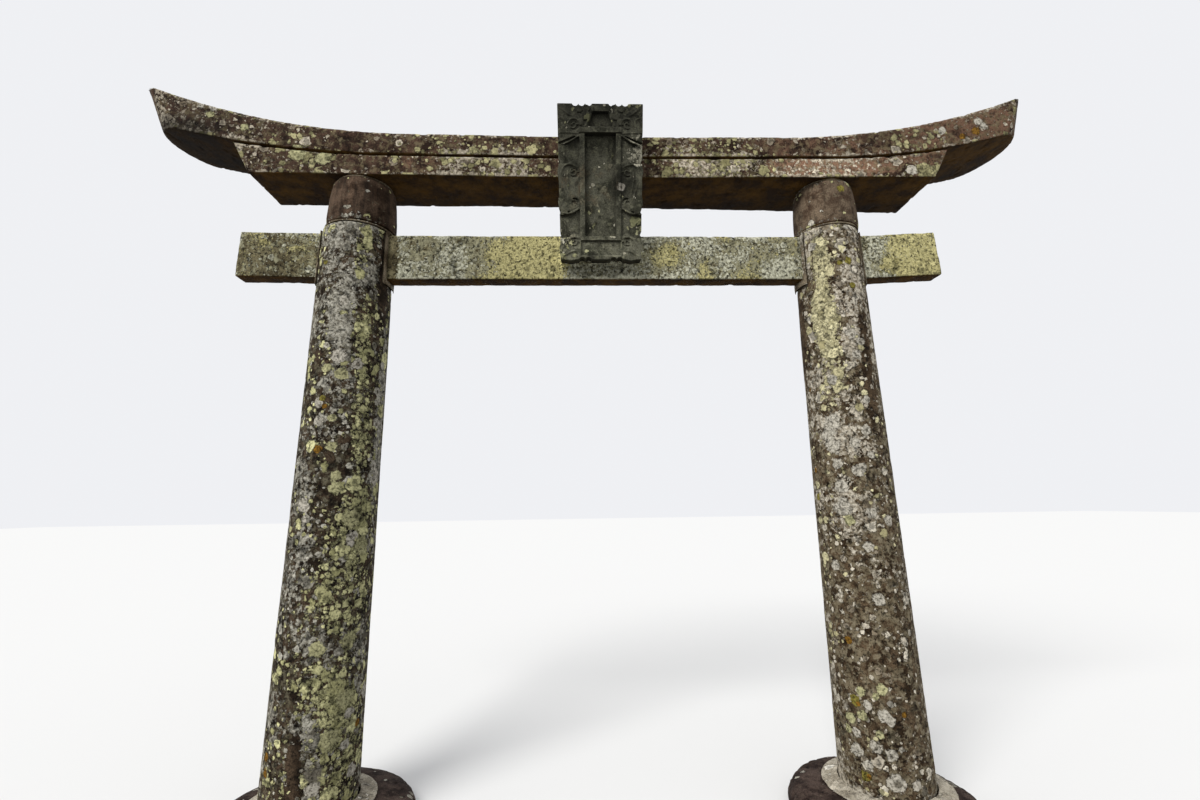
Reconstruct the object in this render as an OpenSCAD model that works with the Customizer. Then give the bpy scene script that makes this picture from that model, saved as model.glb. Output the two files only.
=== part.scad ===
// Stone torii gate of the myojin form, with slanted, rounded prow ends.
// X runs along the gate, Y through it, Z up. The origin is on the ground, midway between the lintel's tips.

/* [Base stones] */
// Height of a base stone over the ground
base_h = 120; // [60:5:250]
// Radius of the left base stone at the ground
left_base_r = 550; // [500:10:640]
// Radius of the right base stone at the ground
right_base_r = 500; // [500:10:640]
// How far the right base stone lies inwards of its shaft
right_base_in = 50; // [0:5:60]
// How far the right base stone lies in front of its shaft
right_base_forward = 50; // [0:5:60]
// Height of the upright band round the foot of a base stone
base_toe = 16; // [6:2:40]
// Width of the cement collar round a shaft's foot
collar_w = 95; // [20:5:140]
// Height of the cement collar against the shaft
collar_h = 26; // [8:2:60]

/* [Shafts] */
// Distance between the shafts' centres at the foot
span = 3064; // [2600:10:4000]
// Inward lean of each shaft, and rise of the lintel's bed, in degrees
lean = 0.65; // [0:0.05:3]
// Diameter of a shaft at the foot
foot_d = 485; // [380:5:600]
// Diameter of the left shaft at its top
left_neck_d = 426; // [380:2:480]
// Diameter of the right shaft at its top
right_neck_d = 402; // [380:2:480]
// Height of a drum
drum_h = 306; // [220:2:420]
// Diameter of the left drum at its top
left_drum_d = 380; // [330:2:400]
// Diameter of the right drum at its top
right_drum_d = 366; // [330:2:400]
// How far the drums are set to the right of the shafts
drum_shift = 12; // [-20:1:20]
// Thickness of a mortar bed
bed = 8; // [3:1:20]

/* [Tie beam] */
// Height of the tie beam's underside over the shaft's foot
beam_z = 2870; // [2300:10:3400]
// Height of the tie beam
beam_h = 300; // [200:5:380]
// Thickness of the tie beam
beam_t = 118; // [80:2:180]
// Reach of the left end stone from the middle of the gate
left_reach = 2212; // [2000:2:2500]
// Reach of the right end stone from the middle of the gate
right_reach = 2214; // [2000:2:2500]
// Upward tilt of the left end stone in degrees
left_tilt = 1.2; // [0:0.1:3]
// Upward tilt of the right end stone in degrees
right_tilt = 3.2; // [0:0.1:4]
// How much higher than the tie beam the left end stone is set
left_lift = 13; // [0:1:14]
// How much higher than the tie beam the right end stone is set
right_lift = 6; // [0:1:14]
// Mortar joint round the tie beam in the fork of a shaft
slot_gap = 16; // [15:1:25]

/* [Lower lintel] */
// Depth of the lower lintel, front to back
lower_d = 356; // [300:4:460]
// Height of the lower lintel at the middle
lower_h = 140; // [100:5:200]
// Length of the left half of the lower lintel along its underside
lower_left_l = 2128; // [1900:2:2400]
// Length of the right half of the lower lintel along its underside
lower_right_l = 2174; // [1900:2:2400]
// Slant of the lower lintel's ends from upright, in degrees
end_slant = 29; // [15:1:40]
// Where the left half's bed joint starts to sweep up
left_bed_sweep_x = 1300; // [900:10:1600]
// Where the right half's bed joint starts to sweep up
right_bed_sweep_x = 1500; // [900:10:1600]
// Radius of the sweep of the left half's bed joint
left_bed_sweep_r = 5850; // [4000:50:9000]
// Radius of the sweep of the right half's bed joint
right_bed_sweep_r = 4550; // [4000:50:9000]
// Gap of the joint between the two halves
joint_gap = 8; // [3:1:20]
// How much further the back of the left half stands out at the lintel's end
left_flare = 34; // [0:2:150]
// How much further the back of the right half stands out at the lintel's end
right_flare = 116; // [0:2:150]

/* [Upper lintel] */
// How far the upper lintel's faces stand over the lower one's
overhang = 9; // [4:1:40]
// Height of the upper lintel's face at the middle
upper_h = 146; // [100:2:200]
// Length of the left half along its underside, on the face
left_half_l = 2588; // [2450:2:2800]
// Length of the right half along its underside, on the face
right_half_l = 2634; // [2450:2:2800]
// Bulge of the left prow end at its foot, at mid depth
left_bulge = 160; // [60:2:220]
// Bulge of the right prow end at its foot, at mid depth
right_bulge = 212; // [60:2:220]
// Bulge of a prow end at its tip, at mid depth
tip_bulge = 100; // [10:2:140]
// Rake of the edge where the left prow ends on the face, from upright, in degrees
left_rake = 31.4; // [20:0.2:42]
// Rake of the edge where the right prow ends on the face, from upright, in degrees
right_rake = 30.2; // [20:0.2:42]
// Height over its foot at which a prow is as flat as at its tip
prow_h = 300; // [220:10:360]
// Where the left half's top edge starts to sweep up
left_top_sweep_x = 1170; // [900:5:1500]
// Where the right half's top edge starts to sweep up
right_top_sweep_x = 1235; // [900:5:1500]
// Radius of the sweep of the left half's top edge
left_top_sweep_r = 4500; // [3800:20:7000]
// Radius of the sweep of the right half's top edge
right_top_sweep_r = 4340; // [3800:20:7000]
// Rise of the roof-shaped top from its edge to the ridge, at the middle
ridge_h = 62; // [20:2:120]

/* [Strut] */
// Width of the strut between tie beam and lintel
strut_w = 240; // [140:5:320]

/* [Plaque] */
// How far the plaque hangs to the right of the middle
plaque_x = 26; // [-40:1:40]
// Width of the plaque at its foot
plaque_w = 490; // [380:2:560]
// How much wider the plaque is at its head
plaque_flare = 28; // [0:2:60]
// Height of the plaque along its face
plaque_h = 930; // [700:2:1000]
// Thickness of the plaque's frame
plaque_t = 104; // [60:2:140]
// Height of the plaque's foot, at its back, over the tie beam's underside
plaque_z = 105; // [60:5:200]
// Gap between the plaque's back and the stones that it leans on
plaque_gap = 4; // [1:1:20]
// Depth of the sunk panel under the face of the frame
panel_sink = 34; // [24:2:50]
// Width of the sunk panel
panel_w = 188; // [140:2:220]
// Height of the sunk panel
panel_l = 612; // [500:2:660]
// Height of the panel's foot over the plaque's foot
panel_foot = 142; // [120:2:180]
// Width of the smooth moulding round the panel
moulding_w = 28; // [16:1:36]
// Depth of the carving in the frame
carving = 22; // [8:1:24]
// Diameter of the iron pins under the plaque
pin_d = 24; // [12:1:40]

/* [Hidden] */
$fn = 96;
left = -1;
right = 1;

// Levels and places that follow from the sizes above, measured from the shaft's foot
foot_r = foot_d / 2;
beam_top = beam_z + beam_h;
neck_z = beam_top + slot_gap;
soffit_on_axis = neck_z + bed + drum_h + bed;
axis_x = span / 2 - tan(lean) * (beam_z + beam_h / 2);
// Height of the soffit over the ground at the middle of the gate
soffit_z = base_h + soffit_on_axis * cos(lean) - tan(lean) * (span / 2 - soffit_on_axis * sin(lean));
// Mortar that stands proud where the tie beam enters a shaft
bead = 12;
bead_w = 20;
// Recess of a bed joint behind the stone's face
joint_recess = 7;
// Radius of the worn edge round a drum's top
drum_round = 16;

half_lower_d = lower_d / 2;
half_upper_d = half_lower_d + overhang;
slant = tan(end_slant);
sweep_from = min(left_bed_sweep_x, right_bed_sweep_x, left_top_sweep_x, right_top_sweep_x);
// Length of the rough stone past the end before it is cut to shape
rough_spare = 460;
sweep_to = max(left_half_l, right_half_l) + max(left_bulge, right_bulge) + rough_spare;
sweep_steps = 26;
// Places along the lintel at which its section is worked out
sweep_step = (sweep_to - sweep_from) / sweep_steps;
stations = concat([-20, sweep_from / 2], [for (i = [0:sweep_steps]) sweep_from + i * sweep_step]);

// Rise of a circular sweep of radius r at distance d past its start
function rise(r, d) = d <= 0 ? 0 : r - sqrt(r * r - d * d);
function bed_sweep_x(side) = side < 0 ? left_bed_sweep_x : right_bed_sweep_x;
function bed_sweep_r(side) = side < 0 ? left_bed_sweep_r : right_bed_sweep_r;
function top_sweep_x(side) = side < 0 ? left_top_sweep_x : right_top_sweep_x;
function top_sweep_r(side) = side < 0 ? left_top_sweep_r : right_top_sweep_r;
function bed_at(side, u) = lower_h + rise(bed_sweep_r(side), u - bed_sweep_x(side));
function top_at(side, u) = lower_h + upper_h + rise(top_sweep_r(side), u - top_sweep_x(side));
function lower_l_of(side) = side < 0 ? lower_left_l : lower_right_l;
function half_l_of(side) = side < 0 ? left_half_l : right_half_l;
function bulge_of(side) = side < 0 ? left_bulge : right_bulge;
function rake_of(side) = side < 0 ? left_rake : right_rake;
// The ridge dies out towards the tip, and leaves a slight fall to the edges there
tip_ridge = 0.1;
function ridge_at(side, u) = ridge_h * (1 - (1 - tip_ridge) * min(1, max(0, u) / half_l_of(side)));
// How far the back stands out past the plain depth at distance u
function flare_at(side, u) = (side < 0 ? left_flare : right_flare) * max(0, u) / half_l_of(side);
// Half depth of the upper lintel at its end, and how far its middle lies back there
function end_back(side) = flare_at(side, half_l_of(side)) / 2;
function end_half_d(side) = half_upper_d + end_back(side);

// Share of a prow's height at height h over its foot
function prow_share(h) = min(1, max(0, h / prow_h));
// Where a prow ends on the face at height h over its foot, and how far its nose bulges out past that
function edge_at(side, h) = half_l_of(side) + tan(rake_of(side)) * max(0, h);
function bulge_at(side, h) = bulge_of(side) + (tip_bulge - bulge_of(side)) * prow_share(h);

// Where the nose meets the top, in steps that close in on it
function nose_at(side, h) = edge_at(side, h) + bulge_at(side, h);
function crest_at(side, u) = top_at(side, u) + ridge_at(side, u);
function nose_over(side, u) = nose_at(side, crest_at(side, u) - bed_at(side, half_l_of(side)));
function tip_at(side, u, steps = 20) = steps == 0 ? u : tip_at(side, nose_over(side, u), steps - 1);
function tip_x(side) = let (u = tip_at(side, half_l_of(side)))
    u * cos(lean) - crest_at(side, u) * sin(lean);
// The right half is the longer one, so the shafts' middle lies this far left of the middle of the whole
set_left = (tip_x(right) - tip_x(left)) / 2;

// Lean of the plaque, from the tie beam's face to the lower lintel's face
plaque_foot_z = base_h + beam_z + plaque_z;
plaque_lean = atan((half_lower_d - beam_t / 2) / (soffit_z - plaque_foot_z));
plaque_back_y = -beam_t / 2 - plaque_gap;
pin_in = 34;
pin_spread = 130;
cramp_z = soffit_z + lower_h + upper_h * 0.45;

// The middle between the shafts
module at_middle() {
    translate([-set_left, 0, 0]) children();
}

module flipped(side) {
    mirror([side < 0 ? 1 : 0, 0, 0]) children();
}

module mirrored(side) {
    at_middle() flipped(side) children();
}

// Frame of a leaning shaft: its own axis is Z, from the middle of its foot
module on_shaft(side) {
    mirrored(side) translate([span / 2, 0, base_h]) rotate([0, -lean, 0]) children();
}

// Frame of one half of the lintel: X outwards along its underside, Z up, from the middle of the gate
module on_lintel(side) {
    mirrored(side) translate([0, 0, soffit_z]) rotate([0, -lean, 0]) children();
}

// A block between two corners
module block(low, high) {
    translate(low) cube(high - low);
}

function neck_of(side) = (side < 0 ? left_neck_d : right_neck_d) / 2;
function drum_top_of(side) = (side < 0 ? left_drum_d : right_drum_d) / 2;
function tilt_of(side) = side < 0 ? left_tilt : right_tilt;
function lift_of(side) = side < 0 ? left_lift : right_lift;
function reach_of(side) = side < 0 ? left_reach : right_reach;
// How much lower a tilted end stone starts, so that its top ends level at the shaft's face
function drop_of(side) = neck_of(side) * tan(tilt_of(side));

// The tapering round body of a shaft, with its surface moved out by grow
module column(side, grow = 0) {
    below = 20;
    taper = (foot_r - neck_of(side)) / neck_z;
    translate([0, 0, -below])
        cylinder(h = neck_z + below, r1 = foot_r + grow + taper * below, r2 = neck_of(side) + grow);
}

// The fork that takes the tie beam, on the ground's axes, made wider all round by grow
module fork(side, grow = 0) {
    half_w = beam_t / 2 + slot_gap + grow;
    low = base_h + beam_z - slot_gap - drop_of(side) - grow;
    mirrored(side)
        block([axis_x - foot_r * 1.5, -half_w, low], [axis_x + foot_r * 1.5, half_w, base_h + neck_z + 60]);
}

module base_stone(side) {
    base_r = side < 0 ? left_base_r : right_base_r;
    inwards = side < 0 ? 0 : right_base_in;
    forward = side < 0 ? 0 : right_base_forward;
    // The top is level under the collar, and falls to the rim as a quarter of an ellipse
    level_r = min(base_r - base_toe, foot_r + collar_w + norm([inwards, forward]));
    shoulder_w = base_r - level_r;
    shoulder_h = base_h - base_toe;
    color("#6e655f") mirrored(side) translate([span / 2 - inwards, -forward, 0])
        rotate_extrude($fn = 120)
            polygon(concat(
                [[0, 0], [base_r - 8, 0]],
                [for (a = [0:10:90]) [level_r + shoulder_w * cos(a), base_toe + shoulder_h * sin(a)]],
                [[0, base_h]]
            ));
}

module foot_mortar(side) {
    rim = 6;
    shoulder_w = collar_w * 0.4;
    shoulder_h = rim + (collar_h - rim) * 0.45;
    slope = (collar_h - shoulder_h) / shoulder_w;
    inside = 40;
    color("#b3aa9a") difference() {
        mirrored(side) translate([span / 2, 0, base_h])
            rotate_extrude($fn = 120)
                polygon([
                    [foot_r - inside, 0], [foot_r + collar_w, 0], [foot_r + collar_w - rim, rim],
                    [foot_r + shoulder_w, shoulder_h], [foot_r - inside, collar_h + slope * inside]
                ]);
        on_shaft(side) column(side);
    }
}

module shaft(side) {
    color("#77705f") difference() {
        on_shaft(side) column(side);
        block([-sweep_to, -foot_d, 0], [sweep_to, foot_d, base_h]);
        fork(side);
    }
}

// The tie beam's stone between the shafts
module beam_stone() {
    reach = axis_x - bed / 2;
    color("#a09d7e") difference() {
        at_middle()
            block([-reach, -beam_t / 2, base_h + beam_z], [reach, beam_t / 2, base_h + beam_top]);
        plaque_pins();
    }
}

// One of the two outer stones of the tie beam, tilted up a little about the shaft
module tie_end(side) {
    rough_in = 60;
    color("#a09d7e") mirrored(side) intersection() {
        translate([axis_x, 0, base_h + beam_z + lift_of(side) - drop_of(side)])
            rotate([0, -tilt_of(side), 0])
                block([-rough_in, -beam_t / 2, 0], [reach_of(side) - axis_x, beam_t / 2, beam_h]);
        block([axis_x + bed / 2, -beam_t, base_h], [span, beam_t, base_h + beam_top * 2]);
    }
}

module slot_mortar(side) {
    color("#b3aa9a") difference() {
        intersection() {
            on_shaft(side) column(side, bead);
            fork(side, bead_w);
        }
        shaft(side);
        beam_stone();
        tie_end(side);
    }
}

module drum_bed(side) {
    color("#5f564d") on_shaft(side) translate([side * drum_shift / 2, 0, neck_z])
        cylinder(h = bed, r = neck_of(side) - joint_recess);
}

module drum(side) {
    neck_r = neck_of(side);
    top_r = drum_top_of(side);
    belly = 5;
    color("#5a4a42") on_shaft(side) translate([side * drum_shift, 0, neck_z + bed])
        rotate_extrude($fn = 120)
            polygon(concat(
                [[0, 0], [neck_r - 8, 0], [neck_r - 2, 6]],
                [for (i = [1:5]) let (t = i / 6)
                    [
                        neck_r - 2 + (top_r - neck_r + 2) * t + belly * sin(180 * t),
                        6 + (drum_h - drum_round - 6) * t
                    ]],
                [for (a = [0:30:90])
                    [top_r - drum_round + drum_round * cos(a), drum_h - drum_round + drum_round * sin(a)]],
                [[0, drum_h]]
            ));
}

module lintel_bed(side) {
    color("#5f564d") on_shaft(side) translate([side * drum_shift, 0, neck_z + bed + drum_h])
        cylinder(h = bed, r = drum_top_of(side) - drum_round - joint_recess / 2);
}

// What lies on this half's side of the joint at the middle of the gate
module half_space(side) {
    mirrored(side)
        block(
            [joint_gap / 2, -sweep_to, soffit_z - sweep_to],
            [sweep_to * 2, sweep_to, soffit_z + sweep_to]
        );
}

// Plan of one half of the lower lintel: square at the front, its back flaring towards the end
module half_plan(side) {
    past = -50;
    polygon([
        [past, -half_lower_d], [sweep_to, -half_lower_d],
        [sweep_to, half_lower_d + flare_at(side, sweep_to)], [0, half_lower_d], [past, half_lower_d]
    ]);
}

module lower_lintel(side) {
    end_top = bed_at(side, sweep_to);
    color("#75614f") intersection() {
        on_lintel(side) intersection() {
            translate([0, sweep_to, 0]) rotate([90, 0, 0]) linear_extrude(sweep_to * 2)
                intersection() {
                    polygon(concat([[stations[0], 0]], [[sweep_to, 0]],
                        [for (i = [len(stations) - 1:-1:0]) [stations[i], bed_at(side, stations[i])]]));
                    polygon([
                        [-50, -1], [lower_l_of(side) - slant, -1],
                        [lower_l_of(side) + slant * end_top, end_top], [-50, end_top]
                    ]);
                }
            linear_extrude(end_top) half_plan(side);
        }
        half_space(side);
    }
}

// The upper lintel before its end is shaped: a roof-topped section carried along the two sweeps
module upper_loft(side) {
    n = len(stations);
    d = half_upper_d;
    points = [for (u = stations)
        let (back = d + flare_at(side, u), low = bed_at(side, u), high = top_at(side, u))
            each [
                [u, -d, low], [u, back, low], [u, back, high],
                [u, (back - d) / 2, high + ridge_at(side, u)], [u, -d, high]
            ]];
    sides = [for (i = [0:n - 2], k = [0:4])
        let (a = i * 5 + k, b = i * 5 + (k + 1) % 5) each [[b + 5, b, a], [a + 5, b + 5, a]]];
    far_end = [for (k = [4:-1:0]) (n - 1) * 5 + k];
    polyhedron(points, concat([[0, 1, 2, 3, 4]], sides, [far_end]), convexity = 4);
}

// Plan of the lintel at height h over the foot of its prow, with the round end
module prow_plan(side, h) {
    half = end_half_d(side);
    bulge = bulge_at(side, h);
    r = (half * half + bulge * bulge) / (2 * bulge);
    turn = asin(half / r);
    steps = 16;
    // The round runs on past the lintel's faces, so that they are cut and not touched
    past = 40;
    spare_x = past * sin(turn);
    spare_y = past * cos(turn);
    translate([0, end_back(side)])
        polygon(concat(
            [[-sweep_to, -half - spare_y], [edge_at(side, h) - spare_x, -half - spare_y]],
            [for (i = [-steps:steps]) let (a = turn * i / steps)
                [edge_at(side, h) + bulge - r + r * cos(a), r * sin(a)]],
            [[edge_at(side, h) - spare_x, half + spare_y], [-sweep_to, half + spare_y]]
        ));
}

// What the prow end leaves standing: round at its foot and nearly flat at its tip
module prow_envelope(side) {
    levels = [-sweep_to, 0, prow_h, prow_h * 2];
    leaf = 1;
    translate([0, 0, bed_at(side, half_l_of(side))])
        for (i = [1:len(levels) - 1]) hull() {
            translate([0, 0, levels[i - 1]]) linear_extrude(leaf) prow_plan(side, levels[i - 1]);
            translate([0, 0, levels[i]]) linear_extrude(leaf) prow_plan(side, levels[i]);
        }
}

module upper_lintel(side) {
    color("#705c52") difference() {
        intersection() {
            on_lintel(side) intersection() {
                upper_loft(side);
                prow_envelope(side);
            }
            half_space(side);
        }
        plaque_cramps();
    }
}

module joint_mortar() {
    inset = 4;
    half_low = half_lower_d - inset;
    half_up = half_upper_d - inset;
    top = lower_h + upper_h - inset;
    color("#8d8575") at_middle() translate([-joint_gap / 2, 0, soffit_z]) rotate([90, 0, 90])
        linear_extrude(joint_gap)
            polygon([
                [-half_low, inset], [half_low, inset], [half_low, lower_h], [half_up, lower_h + inset],
                [half_up, top], [0, top + ridge_h], [-half_up, top],
                [-half_up, lower_h + inset], [-half_low, lower_h]
            ]);
}

module strut() {
    half = strut_w / 2;
    low = base_h + beam_top;
    color("#7d7263") at_middle() translate([0, beam_t / 2, 0]) rotate([90, 0, 0]) linear_extrude(beam_t)
        polygon([
            [-half, low], [half, low], [half, soffit_z + half * tan(lean)],
            [0, soffit_z], [-half, soffit_z + half * tan(lean)]
        ]);
}

// Frame of the plaque: X across, Y up its length, Z out of its front, from the middle of its foot at the back
module on_plaque() {
    at_middle() translate([plaque_x, plaque_back_y, plaque_foot_z])
        rotate([90 + plaque_lean, 0, 0]) children();
}

// Half width of the plaque at height h of its face
function plaque_half(h) = plaque_w / 2 + plaque_flare / 2 * h / plaque_h;

// Inner edge of the carved strip beside the panel's moulding, and levels of the carving along the plaque
strip_in = panel_w / 2 + moulding_w + 4;
panel_head = panel_foot + panel_l;
ledge_h = moulding_w * 1.1;
ledge_top = panel_head + ledge_h;
cloud_low = panel_foot + panel_l * 0.24;
cloud_high = panel_foot + panel_l * 0.73;
// Scrolls of the carved clouds on each side: height of the centre, radius, and 1 if it curls in from above
scrolls = [
    [panel_foot * 0.75, 27, 1], [cloud_low + 52, 26, -1], [cloud_high - 66, 29, 1], [ledge_top + 18, 29, 1]
];
scroll_depth = carving * 0.6;
// Depth of the fields, radius of the clouds that stand into them, and fall of their edges
field_depth = carving * 0.6;
cloud_r = 34;
cloud_back = 14;
head_fall = 62;
// Radius of the notches in the plaque's long edges, and how far outside the edge their middles lie
notch_r = 17;
notch_out = 8;
// Places of the notches from the middle, in its head and in its foot
head_notches = [70, 112, 150];
foot_notches = [76, 114];
// Round lobes of the clouds along the head: distance from the middle, depth under the top edge, radius
lobes = [[127, 34, 21], [84, 30, 22], [93, 76, 24], [121, 112, 20]];

// A round notch in the outline, at distance x from the middle and height h
module notch(x, h, r) {
    translate([x, h]) circle(r = r, $fn = 40);
}

module plaque_outline() {
    swell_r = 70;
    swell = 7;
    difference() {
        union() {
            polygon([
                [-plaque_half(0), 0], [plaque_half(0), 0],
                [plaque_half(plaque_h), plaque_h], [-plaque_half(plaque_h), plaque_h]
            ]);
            for (side = [left, right], h = [panel_foot * 0.45, cloud_low + 60, cloud_high - 60])
                translate([side * (plaque_half(h) - swell_r + swell), h]) circle(r = swell_r, $fn = 90);
        }
        for (side = [left, right]) {
            for (h = [panel_foot + 16, cloud_low + 2, cloud_high - 2, ledge_top - 60])
                notch(side * (plaque_half(h) + notch_out), h, notch_r);
            for (x = head_notches) notch(side * x, plaque_h + 5, notch_r + 2);
            for (x = foot_notches) notch(side * x, -6, notch_r + 4);
        }
    }
}

// The fields that lie back between the carved clouds on one side, open to the plaque's edge
module side_fields() {
    edge = plaque_half(plaque_h) + notch_out;
    // Upper field, its head slanting down outwards, a cloud's back standing into its foot
    difference() {
        polygon([
            [strip_in, cloud_high - cloud_back], [edge, cloud_high - cloud_back],
            [edge, panel_head - head_fall], [strip_in, panel_head - 6]
        ]);
        notch(strip_in + cloud_r, cloud_high - cloud_r, cloud_r + 6);
    }
    // Lower field, between the middle cloud's hook and the foot's cloud
    difference() {
        polygon([
            [strip_in, panel_foot], [edge, panel_foot - cloud_back],
            [edge, cloud_low - cloud_back], [strip_in, cloud_low + cloud_back]
        ]);
        notch(strip_in + cloud_r, panel_foot - cloud_r * 0.6, cloud_r + 2);
        notch(edge - cloud_r, cloud_low + cloud_r * 0.3, cloud_r);
    }
}

// Half of a flat ring with its middle at distance x, above the axis where up is 1 and else below it
module half_ring(r, x, up) {
    band = 7;
    overlap = 0.2;
    translate([x, 0]) intersection() {
        difference() {
            circle(r = r, $fn = 48);
            circle(r = r - band, $fn = 48);
        }
        translate([-r - 1, up > 0 ? -overlap : -r - 1]) square([2 * r + 2, r + 1 + overlap]);
    }
}

// A spiral band of three half rings that wind inwards
module spiral(r) {
    pitch = r * 0.46;
    half_ring(r, 0, 1);
    half_ring(r - pitch / 2, pitch / 2, -1);
    half_ring(r - pitch, 0, 1);
}

// Place of a scroll on the plaque, in its frame, at depth under the face
module at_scroll(scroll, depth) {
    translate([strip_in + scroll[1] + 4, scroll[0], plaque_t - depth]) children();
}

// The carved frame without its panel, in the plaque's own frame
module plaque_body() {
    ground = plaque_t - carving;
    niche_foot = ledge_top + 12;
    niche_head = plaque_h - 50;
    rail_w = 112;
    difference() {
        union() {
            linear_extrude(plaque_t) plaque_outline();
            // Round lobes of the clouds at the head, and the rail between them
            for (side = [left, right], lobe = lobes)
                translate([side * lobe[0], plaque_h - lobe[1], 0])
                    cylinder(h = plaque_t + 6, r = lobe[2], $fn = 48);
            translate([-rail_w / 2, niche_head - 2, 0]) cube([rail_w, 36, plaque_t + 5]);
        }
        for (side = [left, right]) flipped(side) {
            translate([0, 0, plaque_t - field_depth]) linear_extrude(carving * 2) side_fields();
            for (scroll = scrolls)
                at_scroll(scroll, scroll_depth) cylinder(h = carving * 2, r = scroll[1] + 3, $fn = 48);
        }
        // Niche in the head and plain field in the foot
        translate([0, 0, ground]) linear_extrude(carving * 2)
            polygon([[-74, niche_foot], [74, niche_foot], [46, niche_head], [-46, niche_head]]);
        translate([-strip_in + 6, 26, plaque_t - 7])
            cube([2 * strip_in - 12, panel_foot - moulding_w - 26, carving]);
    }
    for (side = [left, right], scroll = scrolls)
        flipped(side) at_scroll(scroll, scroll_depth + 1)
            linear_extrude(scroll_depth + 1) scale([1, scroll[2]]) spiral(scroll[1]);
}

// Smooth moulding round the panel, with a ledge at its head
module panel_moulding() {
    proud = 6;
    half = panel_w / 2 + moulding_w;
    translate([-half, panel_foot - moulding_w, plaque_t - carving])
        cube([2 * half, panel_l + 2 * moulding_w, carving + proud]);
    translate([-half - 6, panel_head, plaque_t - carving])
        cube([2 * half + 12, ledge_h, carving + proud * 2]);
}

module plaque() {
    color("#4c5148") difference() {
        on_plaque() difference() {
            union() {
                plaque_body();
                panel_moulding();
            }
            translate([-panel_w / 2, panel_foot, plaque_t - panel_sink])
                cube([panel_w, panel_l, panel_sink * 2]);
        }
        plaque_pins();
        plaque_cramps();
    }
}

// Iron pin number side under the plaque, from the tie beam's face into the plaque
module plaque_pin(side) {
    reach = plaque_gap + pin_in * 2;
    color("#4a3a30") at_middle()
        translate([plaque_x + side * pin_spread, -beam_t / 2 + pin_in, base_h + beam_top - pin_d * 2])
        rotate([90, 0, 0]) cylinder(h = reach + 8, d = pin_d);
}

module plaque_pins() {
    plaque_pin(left);
    plaque_pin(right);
}

module plaque_cramp(side) {
    back = -half_upper_d + pin_in;
    face = plaque_back_y - tan(plaque_lean) * (cramp_z - plaque_foot_z);
    color("#4a3a30") at_middle() translate([plaque_x + side * pin_spread, back, cramp_z])
        rotate([90, 0, 0]) cylinder(h = back - face + pin_in, d = pin_d);
}

module plaque_cramps() {
    plaque_cramp(left);
    plaque_cramp(right);
}

base_stone(left);  // left_base_stone
base_stone(right);  // right_base_stone
foot_mortar(left);  // left_foot_mortar
foot_mortar(right);  // right_foot_mortar
shaft(left);  // left_shaft
shaft(right);  // right_shaft
slot_mortar(left);  // left_slot_mortar
slot_mortar(right);  // right_slot_mortar
drum_bed(left);  // left_drum_bed
drum_bed(right);  // right_drum_bed
drum(left);  // left_drum
drum(right);  // right_drum
lintel_bed(left);  // left_lintel_bed
lintel_bed(right);  // right_lintel_bed
beam_stone();  // tie_beam
tie_end(left);  // left_tie_end
tie_end(right);  // right_tie_end
lower_lintel(left);  // left_lower_lintel
lower_lintel(right);  // right_lower_lintel
upper_lintel(left);  // left_upper_lintel
upper_lintel(right);  // right_upper_lintel
joint_mortar();  // lintel_joint_mortar
strut();  // centre_strut
plaque();
plaque_pin(left);  // left_plaque_pin
plaque_pin(right);  // right_plaque_pin
plaque_cramp(left);  // left_plaque_cramp
plaque_cramp(right);  // right_plaque_cramp
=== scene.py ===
"""Looks for the stone torii gate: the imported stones, worn and covered with lichen.

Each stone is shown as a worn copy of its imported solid. The lichen is drawn by layers in
its material, and values painted on the copy's points say where a layer is stronger. They
come from named zones and single spots, which are placed by a pixel of the photograph.
"""

import math

import bmesh
import bpy
import numpy as np
from mathutils import Matrix, Vector
from mathutils.bvhtree import BVHTree


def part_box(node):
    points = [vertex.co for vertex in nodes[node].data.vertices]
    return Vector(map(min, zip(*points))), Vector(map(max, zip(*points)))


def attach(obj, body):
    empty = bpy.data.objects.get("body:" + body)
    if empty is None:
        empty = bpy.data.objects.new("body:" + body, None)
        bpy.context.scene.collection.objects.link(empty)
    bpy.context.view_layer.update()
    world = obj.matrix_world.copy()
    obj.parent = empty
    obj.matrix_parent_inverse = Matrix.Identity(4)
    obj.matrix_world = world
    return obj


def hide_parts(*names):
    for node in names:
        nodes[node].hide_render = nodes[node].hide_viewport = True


# Camera, as worked out from the photograph: metres, degrees and millimetres
CAMERA_AT = (-0.1201, -3.1891, 1.62)
CAMERA_YAW = 2.0502
CAMERA_PITCH = 10.9802
CAMERA_ROLL = -0.8367
LENS = 16.1
SENSOR = 36.0

# The photograph's size in pixels
PHOTO_W = 1200
PHOTO_H = 800

BASE_VOXEL = 0.013
COLLAR_VOXEL = 0.005
SHAFT_VOXEL = 0.0115
MORTAR_VOXEL = 0.006
DRUM_VOXEL = 0.0105
BEAM_VOXEL = 0.009
PLAQUE_VOXEL = 0.003

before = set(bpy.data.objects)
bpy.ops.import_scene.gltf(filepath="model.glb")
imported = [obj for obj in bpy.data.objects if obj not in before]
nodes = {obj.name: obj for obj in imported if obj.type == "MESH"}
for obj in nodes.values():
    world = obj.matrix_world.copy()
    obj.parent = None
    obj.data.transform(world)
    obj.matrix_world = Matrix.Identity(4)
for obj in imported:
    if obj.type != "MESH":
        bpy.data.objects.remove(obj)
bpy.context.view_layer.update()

# Repeatable noise for the shapes

# Numbers that scatter a cell's place and the seed
CELL_PRIMES = (374761393, 668265263, 1103515245)
SEED_PRIME = 974634777
MIX_PRIME = 1274126177
SHIFTS = (13, 16)
LOW_BITS = 0xFFFFFF

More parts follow.
